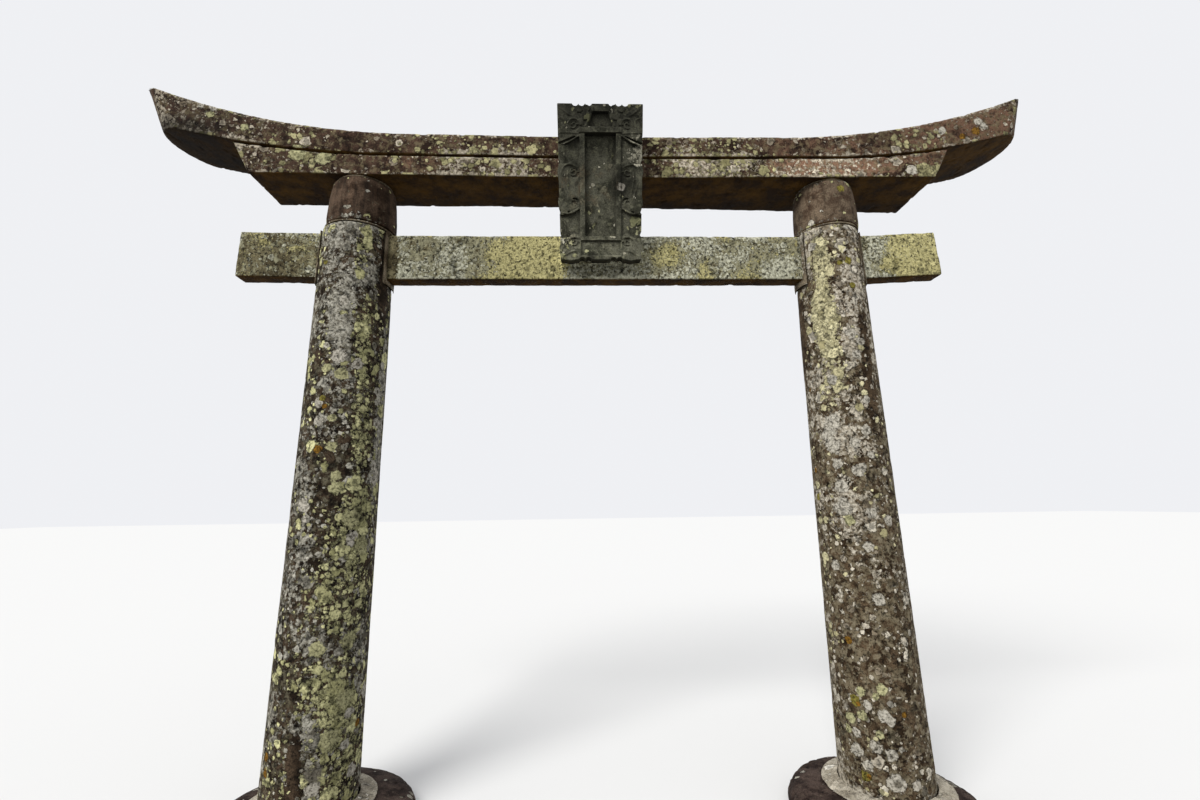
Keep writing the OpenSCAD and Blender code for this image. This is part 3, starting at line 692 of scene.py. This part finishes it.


# Parts of the gate where a growth is stronger or weaker, and where stains, painted shade and tone
# change the colour: a pixel of the photograph, how far it reaches across and upwards in metres,
# and by how much each growth changes
ZONES = {
    "cream column high on right shaft": zone(820, 258, 0.08, 0.25, sunny=0.9),
    "cream column under tie beam": zone(824, 318, 0.11, 0.3, sunny=1.15),
    "lobes under cream column": zone(831, 372, 0.1, 0.28, sunny=0.6),
    "grey field beside cream column": zone(850, 290, 0.12, 0.3, grey=0.35, sunny=-0.3),
    "ringed crust on right shaft": zone(855, 342, 0.1, 0.16, grey=0.7),
    "white patches on right shaft": zone(832, 436, 0.1, 0.2, grey=0.2),
    "white patches lower on right shaft": zone(842, 505, 0.12, 0.35, grey=0.2),
    "dark streak down right shaft": zone(868, 365, 0.06, 0.5, bare=0.6, stain=0.2),
    "brown left edge of right shaft": zone(801, 330, 0.07, 0.5, bare=0.6),
    "bare edge high on left shaft": zone(388, 270, 0.07, 0.5, bare=0.9),
    "cream dots high on left shaft": zone(364, 252, 0.06, 0.3, sunny=0.7),
    "grey head of left shaft": zone(345, 275, 0.2, 0.6, grey=0.22, sunny=-0.3),
    "cracked crust on left shaft": zone(340, 318, 0.1, 0.2, grey=0.5),
    "cream column on left shaft": zone(363, 340, 0.065, 0.4, sunny=0.58),
    "cream column lower on left shaft": zone(362, 430, 0.075, 0.4, sunny=0.55),
    "cream field on left shaft": zone(354, 520, 0.16, 0.35, sunny=0.6),
    "grey right edge of left shaft": zone(380, 430, 0.07, 0.7, grey=0.5),
    "dark middle of left shaft": zone(334, 470, 0.11, 0.3, grey=-0.35, sunny=-0.3),
    "growth low on left shaft": zone(335, 640, 0.24, 0.6, sunny=0.4),
    "growth at left shaft's foot": zone(335, 740, 0.26, 0.4, sunny=0.5),
    "bare streak at left shaft's foot": zone(292, 772, 0.05, 0.2, bare=0.9),
    "dark lower part of right shaft": zone(885, 660, 0.3, 0.9, sunny=-0.25, grey=-0.25),
    "cream lobes on left lower lintel": zone(322, 158, 0.28, 0.08, sunny=0.6),
    "grey patch at left lower end": zone(271, 160, 0.14, 0.1, grey=0.15),
    "darker stone of left lower lintel": zone(300, 160, 0.4, 0.12, tone=-0.12),
    "spotted left end of lintel": zone(215, 112, 0.6, 0.3, sunny=-0.15, grey=0.1, dots=0.35, stain=0.2),
    "brown middle of left lintel": zone(352, 150, 0.3, 0.25, grey=-0.3, dots=-0.3, sunny=-0.4),
    "brown stone left of plaque": zone(412, 160, 0.25, 0.12, grey=-0.3, blush=0.3),
    "cream middle of lintel, left": zone(480, 165, 0.5, 0.2, sunny=0.3, grey=0.25),
    "cream middle of lintel, right": zone(700, 165, 0.5, 0.25, sunny=0.35, grey=0.1),
    "purple right of lintel": zone(830, 140, 0.6, 0.3, blush=0.35, sunny=-0.35, dots=-0.2, tone=-0.1),
    "pink right end of lintel": zone(965, 130, 0.6, 0.4, blush=0.6, sunny=-0.2, grey=-0.1, tone=-0.1),
    "pale patches on right upper lintel": zone(925, 140, 0.3, 0.1, grey=0.1, sunny=0.4),
    "yellow corner of right lower lintel": zone(929, 170, 0.12, 0.07, sunny=1.2),
    "pale field on right lower lintel": zone(825, 168, 0.5, 0.1, grey=0.3, blush=0.7, tone=0.75),
    "pale field right of plaque": zone(720, 165, 0.45, 0.1, grey=0.35, tone=0.3, sunny=0.25),
    "pink end of right lower lintel": zone(893, 165, 0.4, 0.1, blush=0.3, tone=0.12),
    "cream right end of tie beam": zone(915, 252, 0.3, 0.3, sunny=0.9, grey=0.2, tone=0.1),
    "brown left end of tie beam": zone(275, 262, 0.4, 0.35, grey=-0.35, bare=0.35, stain=0.15, dots=0.35),
    "pale head of tie beam's left end": zone(300, 240, 0.35, 0.1, sunny=0.55, grey=0.2),
    "lime middle of tie beam": zone(530, 262, 0.34, 0.3, sunny=1.2),
    "grey left of tie beam": zone(440, 255, 0.45, 0.3, sunny=-0.4, grey=0.1, tone=-0.14),
    "yellow fields right of plaque": zone(690, 255, 0.3, 0.2, sunny=0.2),
    "grey right of tie beam": zone(775, 250, 0.25, 0.3, sunny=-0.2, grey=0.2),
    "shadow under plaque": zone(600, 270, 0.28, 0.05, stain=0.6),
    "pale foot of plaque": zone(600, 252, 0.4, 0.12, tone=0.95),
    "specks at plaque's left foot": zone(564, 246, 0.1, 0.22, dots=0.5, sunny=0.12),
    "lichen on plaque's right corner": zone(637, 112, 0.12, 0.1, sunny=0.3, dots=0.4),
    "pale lower half of plaque": zone(600, 220, 0.5, 0.35, tone=0.4),
    "dark head of plaque": zone(600, 112, 0.4, 0.15, tone=-0.45),
    "brown middle of plaque": zone(588, 190, 0.3, 0.25, blush=0.4),
    "lichen on plaque's right shoulder": zone(637, 152, 0.11, 0.17, grey=0.55, dots=0.6),
    "lichen low on plaque's right": zone(636, 225, 0.05, 0.1, sunny=0.6, dots=0.5),
    "brown streak on left drum": zone(362, 200, 0.07, 0.25, tone=-0.3),
    "pale left side of right drum": zone(812, 205, 0.09, 0.25, tone=0.25),
    "dark foot of left drum's right side": zone(388, 215, 0.08, 0.2, tone=-0.2),
    "pale foot of left drum": zone(342, 213, 0.22, 0.06, grey=0.1, dots=0.25),
    "light middle of left drum": zone(352, 190, 0.1, 0.2, tone=0.35),
    "darker ground of plaque's rosette": zone(622, 186, 0.12, 0.12, tone=-0.8),
    "pale right collar": zone(822, 778, 0.25, 0.1, tone=0.15),
    # Painted shade under the left prow
    "dark underside of left prow": zone(200, 150, 0.45, 0.16, stain=0.95),
    "dark foot of right shaft": zone(885, 770, 0.3, 0.4, stain=0.15, grey=-0.15),
    "dark right side of right shaft's foot": zone(920, 700, 0.1, 0.6, grey=-0.2),
}

# Single spots by kind and place: a pixel of the photograph and a radius in millimetres
SPOTS = {
    "white": {
        "left prow": [(201, 105, 22), (213, 107, 30)],
        "right prow": [(978, 121, 30), (984, 126, 25), (942, 130, 30)],
        "right lower lintel": [(912, 170, 35)],
        "plaque": [(621, 187, 26)],
        "right shaft's head": [(811, 223, 22), (846, 226, 20), (811, 247, 30)],
        "right shaft": [
            (832, 422, 50), (828, 434, 45), (833, 446, 45), (855, 443, 30), (837, 463, 30), (841, 487, 40),
            (843, 507, 50), (872, 513, 30), (889, 521, 30), (868, 547, 30), (852, 333, 35), (861, 341, 30),
            (857, 354, 30), (867, 400, 25), (867, 430, 30), (872, 455, 25), (862, 467, 25), (835, 565, 30),
            (832, 380, 30), (858, 470, 35), (880, 600, 35),
        ],
        "right shaft's foot": [
            (898, 785, 46), (892, 756, 30), (857, 750, 32), (876, 748, 32), (869, 766, 26), (884, 716, 32),
            (891, 722, 26), (868, 705, 22), (891, 705, 18), (856, 732, 24), (918, 786, 26), (902, 750, 16),
        ],
        "left shaft": [
            (339, 355, 42), (383, 366, 25), (378, 402, 28), (377, 423, 30), (374, 465, 30), (375, 481, 30),
            (353, 537, 35), (326, 345, 22), (344, 300, 30), (377, 474, 35), (303, 506, 40), (305, 519, 25),
            (358, 364, 32), (378, 392, 30), (318, 402, 30), (318, 421, 30), (352, 540, 35),
        ],
        "left shaft's foot": [
            (345, 745, 30), (352, 770, 35), (312, 790, 35), (365, 690, 40), (350, 712, 30),
        ],
    },
    "heart": {
        "plaque": [(621, 187, 11)],
        "right shaft": [(852, 334, 16), (861, 342, 13), (857, 355, 13), (867, 430, 13), (841, 487, 14)],
        "right shaft's foot": [(898, 785, 26), (892, 757, 14), (876, 749, 12), (926, 792, 30)],
        "left shaft": [(377, 424, 14), (374, 466, 14), (358, 364, 16), (378, 392, 15)],
        "left shaft's foot": [(312, 776, 50), (313, 733, 18), (345, 731, 18)],
    },
    "lime": {
        "left prow": [(210, 114, 28), (244, 127, 25)],
        "left lower lintel": [(297, 152, 50), (322, 158, 50)],
        "right shaft": [(850, 520, 30)],
        "right shaft's foot": [
            (850, 718, 30), (862, 716, 28), (848, 728, 22), (876, 697, 20), (861, 692, 25), (880, 735, 20),
            (882, 690, 30),
        ],
        "left shaft": [
            (326, 368, 28), (342, 374, 40), (332, 418, 25), (331, 446, 30), (336, 476, 30), (335, 488, 35),
            (352, 518, 50), (362, 545, 50),
        ],
        "left shaft's foot": [(345, 700, 50), (330, 740, 50), (350, 640, 45), (316, 650, 40)],
    },
    "olive": {
        "right drum": [(841, 188, 26)],
        "right shaft": [(849, 260, 26), (840, 262, 18), (853, 285, 22), (818, 497, 20)],
        "right shaft's foot": [(855, 701, 30), (866, 777, 28)],
        "left shaft": [(325, 262, 18), (322, 398, 20)],
    },
    "ochre": {
        "right prow": [(976, 131, 30), (963, 136, 22)],
        "right shaft": [(815, 470, 16), (809, 390, 14)],
        "right shaft's foot": [(848, 640, 20), (858, 704, 14), (905, 715, 16), (869, 777, 13)],
        "left shaft": [(317, 449, 28), (324, 406, 16)],
        "left shaft's foot": [(265, 757, 22), (264, 774, 22), (358, 722, 20)],
    },
}


def spots_of(places):
    """The middle and the radius of each single spot of one kind."""
    spots = [spot for place in places.values() for spot in place]
    return [(np.array(seen_at(x, y)), radius / 1000) for x, y, radius in spots]


spot_points = {kind: spots_of(places) for kind, places in SPOTS.items()}

# Where a zone's change is full, as a share of the way in from its rim to its middle
ZONE_FULL = 0.6


def zones(points, kind):
    """How much the zones add to one growth at each point."""
    total = np.zeros(len(points))
    for middle, reach, changes in ZONES.values():
        if kind in changes:
            off = (points - middle) / reach
            total += changes[kind] * step(1 - np.linalg.norm(off, axis=1), 0, ZONE_FULL)
    return total


def nearness(points, kind):
    """Falls from 1 at a single spot's middle through 0.5 at its rim."""
    nearest = np.zeros(len(points))
    for centre, radius in spot_points[kind]:
        nearest = np.maximum(nearest, 1 - np.linalg.norm(points - centre, axis=1) / (2 * radius))
    return nearest


# Worn stones

# Rounds of blurring that find what stands out, and how far out an edge starts and is full
BLUR_ROUNDS = 24
ARRIS = (0.0015, 0.008)

# Rounds of smoothing, and how far each goes
SMOOTH_ROUNDS = 2
SMOOTH_SHARE = 0.5

# Wear of an edge as shares of its stone's wear: the even part, and how fast it grows in
# chips, which start at that level of their lumps
EVEN_WEAR = 0.25
CHIP_WEAR = 2.2
CHIP_START = 0.45

# Where pits start and are full, in their lumps, and the rim, in its share of the radius
PIT = (0.68, 0.82)
RIM = (0.7, 1.0)

# How a stone is worn unless it says otherwise, in metres: wear rounds its edges, uneven and
# rough give its large and small lumps, pits its hollows and ragged its wandering rim. Extra
# meshes are carved onto it, and keep is the share of its faces that stays.
SHAPE = dict(
    wear=0.006, uneven=0.004, rough=0.002, pits=0.005, ragged=0.0, extra=(), keep=1.0,
)

# Where a face starts to be an underside and is one, by how far it looks down, and how far
# behind the gate's middle, in metres, undersides start to take painted shade and take it in full
UNDER = (0.5, 0.85)
BACK = (0.0, 0.2)
# How much painted shade the backs of the undersides take
BACK_SHADE = 0.75

# Where a nook starts and is full, as shares of the mesh size
NOOK = (0.12, 0.7)

# How much a pit darkens, and how much more crust grows on edges
PIT_DARK = 0.8
EDGE_GROWTH = {"sunny": 0.2, "grey": 0.3}

# Stones whose edges grow no more crust, how much paler edges get, partly as painted highlight,
# and how much painted shade darkens nooks
BARE_EDGES = ("base", "collar")
EDGE_TONE = {"slate": 0.5, "lintel": 0.12, "beam": 0.1}
NOOK_SHADE = {"slate": 0.35, "mortar": 0.3, "collar": 0.2}
USUAL_NOOK_SHADE = 0.6


def read(items, name, width, kind=float):
    """What each of a mesh's items holds, as the rows of an array."""
    values = np.empty(len(items) * width, dtype=kind)
    items.foreach_get(name, values)
    return values.reshape(-1, width)


def write(mesh, name, values):
    """Paints values on a mesh's points."""
    layer = mesh.attributes.new(name, "FLOAT", "POINT")
    layer.data.foreach_set("value", values.astype(np.float32))


class Surface:
    """A stone's points before they are worn, and how far each stands out from those around it."""

    def __init__(self, mesh):
        self.points = read(mesh.vertices, "co", 3)
        self.normals = read(mesh.vertex_normals, "vector", 3)
        self.edges = read(mesh.edges, "vertices", 2, np.int64)
        self.count = np.bincount(self.edges.ravel(), minlength=len(self.points)).astype(float)
        blurred = self.points
        for _ in range(BLUR_ROUNDS):
            blurred = self.neighbours_mean(blurred)
        self.outer = np.sum((self.points - blurred) * self.normals, axis=1)
        self.arris = step(self.outer, *ARRIS)

    def neighbours_mean(self, values):
        """The mean of what each point's neighbours hold."""
        total = np.zeros_like(values)
        for a, b in ((0, 1), (1, 0)):
            for axis in range(values.shape[1]):
                total[:, axis] += np.bincount(self.edges[:, a], values[self.edges[:, b], axis], len(values))
        return total / self.count[:, None]

    def smoothed(self):
        """The points without their smallest steps."""
        smooth = self.points
        for _ in range(SMOOTH_ROUNDS):
            smooth = smooth + SMOOTH_SHARE * (self.neighbours_mean(smooth) - smooth)
        return smooth


def even_copy(node, voxel, extra):
    """A copy of an imported stone and what is carved onto it, with an even mesh."""
    whole = bmesh.new()
    for part in (nodes[node].data, *extra):
        whole.from_mesh(part)
    joined = bpy.data.meshes.new(node + "_worn")
    whole.to_mesh(joined)
    whole.free()
    obj = placed(node + "_worn", joined)
    remesh = obj.modifiers.new("even", "REMESH")
    remesh.mode = "VOXEL"
    remesh.voxel_size = voxel
    take_modified(obj)
    return obj


def take_modified(obj):
    """Gives an object the mesh that its modifier makes."""
    mesh = made_mesh(obj)
    obj.modifiers.clear()
    obj.data = mesh


def thin_out(obj, keep):
    """Leaves that share of an object's faces."""
    fewer = obj.modifiers.new("fewer", "DECIMATE")
    fewer.ratio = keep
    take_modified(obj)


def worn_inwards(surface, hollow, shape, seed):
    """How far each point is worn inwards, in metres."""
    chips = np.clip(mixed_lumps(surface.points, "chips", seed) - CHIP_START, 0, 1)
    inward = shape["wear"] * surface.arris * (EVEN_WEAR + CHIP_WEAR * chips)
    inward += shape["uneven"] * mixed_lumps(surface.points, "uneven", seed)
    inward += shape["rough"] * mixed_lumps(surface.points, "rough", seed)
    inward += shape["pits"] * hollow
    return inward


def draw_in_rim(moved, middle, surface, ragged, seed):
    """Makes a round stone's rim wander inwards."""
    from_axis = moved[:, :2] - middle[:2]
    reach = np.linalg.norm(from_axis, axis=1)
    rim = step(reach / reach.max(), *RIM)
    drawn_in = ragged * rim * mixed_lumps(surface.points, "rim", seed)
    moved[:, :2] -= from_axis / reach[:, None] * drawn_in[:, None]


def paint(mesh, look, surface, hollow, voxel):
    """Paints where each layer of the stone's material is stronger or weaker."""
    points = surface.points
    under = step(-surface.normals[:, 2], *UNDER)
    nook = step(-surface.outer, NOOK[0] * voxel, NOOK[1] * voxel)
    back = step(points[:, 1], *BACK) * under
    grown = 0.0 if look in BARE_EDGES else 1.0
    write(mesh, "hollow", hollow * PIT_DARK)
    write(mesh, "under", under)
    for kind, more in EDGE_GROWTH.items():
        write(mesh, kind, zones(points, kind) + more * grown * surface.arris)
    for kind in ("blush", "dots"):
        write(mesh, kind, zones(points, kind))
    # Tone from the zones, and edges painted paler, partly as painted highlight
    write(mesh, "tone", zones(points, "tone") + EDGE_TONE.get(look, 0.0) * surface.arris)
    write(mesh, "bare", np.clip(zones(points, "bare") + nook, 0, 1))
    # Stains and painted shade from the zones, and painted shade in nooks and at the backs of undersides
    stain = zones(points, "stain") + NOOK_SHADE.get(look, USUAL_NOOK_SHADE) * nook + BACK_SHADE * back
    write(mesh, "stain", np.clip(stain, 0, 1))
    for kind in SPOTS:
        write(mesh, kind, nearness(points, kind))


def stone(node, look, voxel, shape, seed):
    """A worn copy of an imported stone, which is then shown in its place."""
    shape = {**SHAPE, **shape}
    obj = even_copy(node, voxel, shape["extra"])
    surface = Surface(obj.data)
    hollow = step(mixed_lumps(surface.points, "pits", seed), *PIT)
    inward = worn_inwards(surface, hollow, shape, seed)
    moved = surface.smoothed() - surface.normals * inward[:, None]
    box_low, box_high = (np.array(c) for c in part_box(node))
    if shape["ragged"]:
        draw_in_rim(moved, (box_low + box_high) / 2, surface, shape["ragged"], seed)
    moved = np.clip(moved, box_low, box_high)
    obj.data.vertices.foreach_set("co", moved.ravel())
    obj.data.update()
    paint(obj.data, look, surface, hollow, voxel)
    if shape["keep"] < 1:
        thin_out(obj, shape["keep"])
    obj.data.shade_smooth()
    obj.data.materials.clear()
    obj.data.materials.append(materials[look])
    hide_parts(node)
    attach(obj, "root")


# The plaque's carving, in millimetres from the middle of its back's foot

# The plaque's lean in degrees, and how far its face is in front of its back
PLAQUE_LEAN = 12.99
PLAQUE_FACE = 104

# The raised bands on the frame's left side: points along each, as x, y and half width
CLOUD_BANDS = [
    [(-238, 516, 4), (-233, 550, 7), (-206, 576, 9), (-168, 574, 8), (-136, 556, 5)],
    [(-196, 548, 4), (-201, 500, 7), (-196, 448, 6), (-184, 396, 3)],
    [(-226, 470, 3), (-216, 430, 6), (-204, 392, 6), (-190, 366, 4)],
    [(-240, 292, 4), (-208, 277, 8), (-166, 288, 9), (-130, 314, 6)],
    [(-240, 248, 4), (-222, 236, 6), (-206, 206, 6), (-212, 172, 4)],
    [(-238, 64, 4), (-216, 100, 7), (-190, 134, 8), (-156, 146, 8), (-128, 134, 5)],
    [(-228, 26, 4), (-196, 48, 7), (-168, 60, 6), (-150, 58, 4)],
    [(-246, 762, 5), (-190, 764, 7), (-130, 758, 5)],
    [(-126, 748, 5), (-168, 720, 8), (-212, 697, 8), (-244, 690, 4)],
    [(-244, 640, 4), (-226, 656, 6), (-216, 630, 6), (-228, 600, 4)],
    [(-200, 800, 4), (-188, 838, 7), (-158, 848, 8), (-128, 834, 6), (-116, 808, 4)],
    [(-92, 906, 5), (-70, 880, 8), (-64, 842, 8), (-90, 800, 6)],
    [
        (-142, 880, 4), (-136, 905, 6), (-112, 908, 7), (-97, 888, 7), (-101, 862, 6), (-120, 858, 4),
        (-121, 876, 4),
    ],
    [(-240, 906, 4), (-208, 886, 8), (-184, 862, 7), (-172, 866, 4)],
    [(-244, 852, 4), (-222, 846, 7), (-204, 824, 6), (-216, 796, 4)],
]
# How far a band's middle line is under the face, and its curve's order, roundness and steps
BAND_SUNK = 1
BAND_ORDER = 3
BAND_ROUNDNESS = 3
BAND_STEPS = 8

# Middles and radius of the scrolls' hollows, how far their filled ground lies under the
# face, and how thick the ground is
SCROLLS = [(157, 106), (156, 341), (159, 523), (159, 803)]
SCROLL_R = 28
SCROLL_GROUND = 6
GROUND_THICK = 16
GROUND_SIDES = 32


def plaque_frame():
    """From the plaque's own frame, in metres, to the gate's."""
    low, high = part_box("plaque")
    lean = math.radians(PLAQUE_LEAN)
    foot = Vector(((low.x + high.x) / 2, high.y, low.z + PLAQUE_FACE / 1000 * math.sin(lean)))
    return Matrix.Translation(foot) @ Matrix.Rotation(math.pi / 2 + lean, 4, "X")


def cloud_band(band, side, to_gate):
    """One raised band as listed, or mirrored where the side is -1."""
    curve = bpy.data.curves.new("band", "CURVE")
    curve.dimensions = "3D"
    curve.bevel_depth = 1.0
    curve.bevel_resolution = BAND_ROUNDNESS
    curve.resolution_u = BAND_STEPS
    curve.use_fill_caps = True
    line = curve.splines.new("NURBS")
    line.points.add(len(band) - 1)
    line.order_u = BAND_ORDER
    line.use_endpoint_u = True
    for point, (x, y, half) in zip(line.points, band):
        place = to_gate @ (Vector((side * x, y, PLAQUE_FACE - BAND_SUNK)) / 1000)
        point.co = (*place, 1)
        point.radius = half / 1000
    holder = placed("band", curve)
    mesh = made_mesh(holder)
    bpy.data.objects.remove(holder)
    return mesh


def scroll_ground(x, y, to_gate):
    """The disc that part-fills a scroll's hollow."""
    middle = Vector((x, y, PLAQUE_FACE - SCROLL_GROUND - GROUND_THICK / 2)) / 1000
    disc = bmesh.new()
    bmesh.ops.create_cone(
        disc,
        cap_ends=True,
        segments=GROUND_SIDES,
        radius1=SCROLL_R / 1000,
        radius2=SCROLL_R / 1000,
        depth=GROUND_THICK / 1000,
        matrix=to_gate @ Matrix.Translation(middle),
    )
    mesh = bpy.data.meshes.new("ground")
    disc.to_mesh(mesh)
    disc.free()
    return mesh


def carving():
    """The raised bands and the scrolls' ground on both sides of the plaque."""
    to_gate = plaque_frame()
    meshes = []
    for side in (1, -1):
        meshes += [cloud_band(band, side, to_gate) for band in CLOUD_BANDS]
        meshes += [scroll_ground(side * x, y, to_gate) for x, y in SCROLLS]
    return meshes


# The gate, stone by stone

BOULDER = dict(uneven=0.022, wear=0.012, pits=0.008)
COLLAR = dict(ragged=0.007, uneven=0.001, rough=0.001, pits=0.002, wear=0.002, keep=0.5)
USUAL = dict()
FILLET = dict(keep=0.5)
CRISP = dict(wear=0.0035, uneven=0.003)
CARVED = dict(wear=0.0015, uneven=0.0012, rough=0.0006, pits=0.0012, keep=0.45)

# Look, mesh size and shape of the worn stones, where SIDE stands for left and right. A
# stone's number in this order seeds its wear.
WORN = {
    "SIDE_base_stone": ("base", BASE_VOXEL, BOULDER),
    "SIDE_foot_mortar": ("collar", COLLAR_VOXEL, COLLAR),
    "SIDE_shaft": ("SIDE_shaft", SHAFT_VOXEL, USUAL),
    "SIDE_slot_mortar": ("mortar", MORTAR_VOXEL, FILLET),
    "SIDE_drum": ("SIDE_drum", DRUM_VOXEL, USUAL),
    "tie_beam": ("beam", BEAM_VOXEL, CRISP),
    "SIDE_tie_end": ("beam", BEAM_VOXEL, CRISP),
    "SIDE_lower_lintel": ("lintel", BEAM_VOXEL, CRISP),
    "SIDE_upper_lintel": ("lintel", BEAM_VOXEL, CRISP),
    "plaque": ("slate", PLAQUE_VOXEL, dict(CARVED, extra=carving())),
}
SEEDS_EACH = 20

# Small and hidden pieces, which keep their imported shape
UNWORN = {
    "SIDE_drum_bed": "mortar",
    "SIDE_lintel_bed": "mortar",
    "lintel_joint_mortar": "mortar",
    "centre_strut": "beam",
    "SIDE_plaque_pin": "iron",
    "SIDE_plaque_cramp": "iron",
}


def sides_of(name):
    """The sides that a name in these tables stands for."""
    return ("left", "right") if "SIDE" in name else ("middle",)


def build():
    """Wears and dresses every stone, then dresses the small pieces."""
    number = 0
    for name, (look, voxel, shape) in WORN.items():
        for side in sides_of(name):
            node = name.replace("SIDE", side)
            stone(node, look.replace("SIDE", side), voxel, shape, SEEDS_EACH * number)
            number += 1
    for name, look in UNWORN.items():
        for side in sides_of(name):
            dressed = nodes[name.replace("SIDE", side)].data.materials
            dressed.clear()
            dressed.append(materials[look])


build()

# Studio

# The floor: how wide and how far under the gate, in metres, and its colour to the camera
# and to everything else
FLOOR_SIZE = 120
FLOOR_DROP = 0.001
FLOOR_SEEN = (0.78, 0.78, 0.77)
FLOOR_LIT = (0.22, 0.22, 0.21)

# The sky: its colour, and its strength to the camera and to everything else
SKY = (0.96, 0.97, 1.0, 1)
SKY_SEEN = 0.9
SKY_LIT = 0.75

# The sun: strength, how wide it is in degrees, colour and where it shines
KEY_ENERGY = 2.5
KEY_WIDTH = 30
KEY_COLOR = (1.0, 0.985, 0.96)
KEY_TOWARDS = (0.55, 0.75, -0.75)


def make_floor():
    """A floor that looks pale to the camera and throws little light back."""
    bpy.ops.mesh.primitive_plane_add(size=FLOOR_SIZE, location=(0, 0, -FLOOR_DROP))
    floor = bpy.context.object
    floor.name = "floor"
    s = Shade("floor")
    path = s.nodes.new("ShaderNodeLightPath").outputs
    seen = s.math("MINIMUM", s.plus(path["Is Camera Ray"], path["Is Glossy Ray"]), 1.0)
    s.plug(s.surface.inputs["Base Color"], s.mix(seen, FLOOR_LIT, FLOOR_SEEN))
    s.surface.inputs["Roughness"].default_value = 1.0
    s.surface.inputs["Specular IOR Level"].default_value = 0.0
    floor.data.materials.append(s.material)


def make_sky():
    """An even sky that is a little brighter to the camera."""
    world = bpy.data.worlds.new("studio")
    bpy.context.scene.world = world
    world.use_nodes = True
    tree = world.node_tree
    path = tree.nodes.new("ShaderNodeLightPath")
    background = tree.nodes["Background"]
    background.inputs["Color"].default_value = SKY
    strength = tree.nodes.new("ShaderNodeMapRange")
    tree.links.new(path.outputs["Is Camera Ray"], strength.inputs["Value"])
    strength.inputs["To Min"].default_value = SKY_LIT
    strength.inputs["To Max"].default_value = SKY_SEEN
    tree.links.new(strength.outputs["Result"], background.inputs["Strength"])


def make_sun():
    """A wide, soft sun from the front left."""
    key = placed("key", bpy.data.lights.new("key", "SUN"))
    key.data.energy = KEY_ENERGY
    key.data.angle = math.radians(KEY_WIDTH)
    key.data.color = KEY_COLOR
    key.rotation_euler = Vector(KEY_TOWARDS).to_track_quat("-Z", "Y").to_euler()


make_floor()
make_sky()
make_sun()
bpy.context.scene.view_settings.view_transform = "Standard"
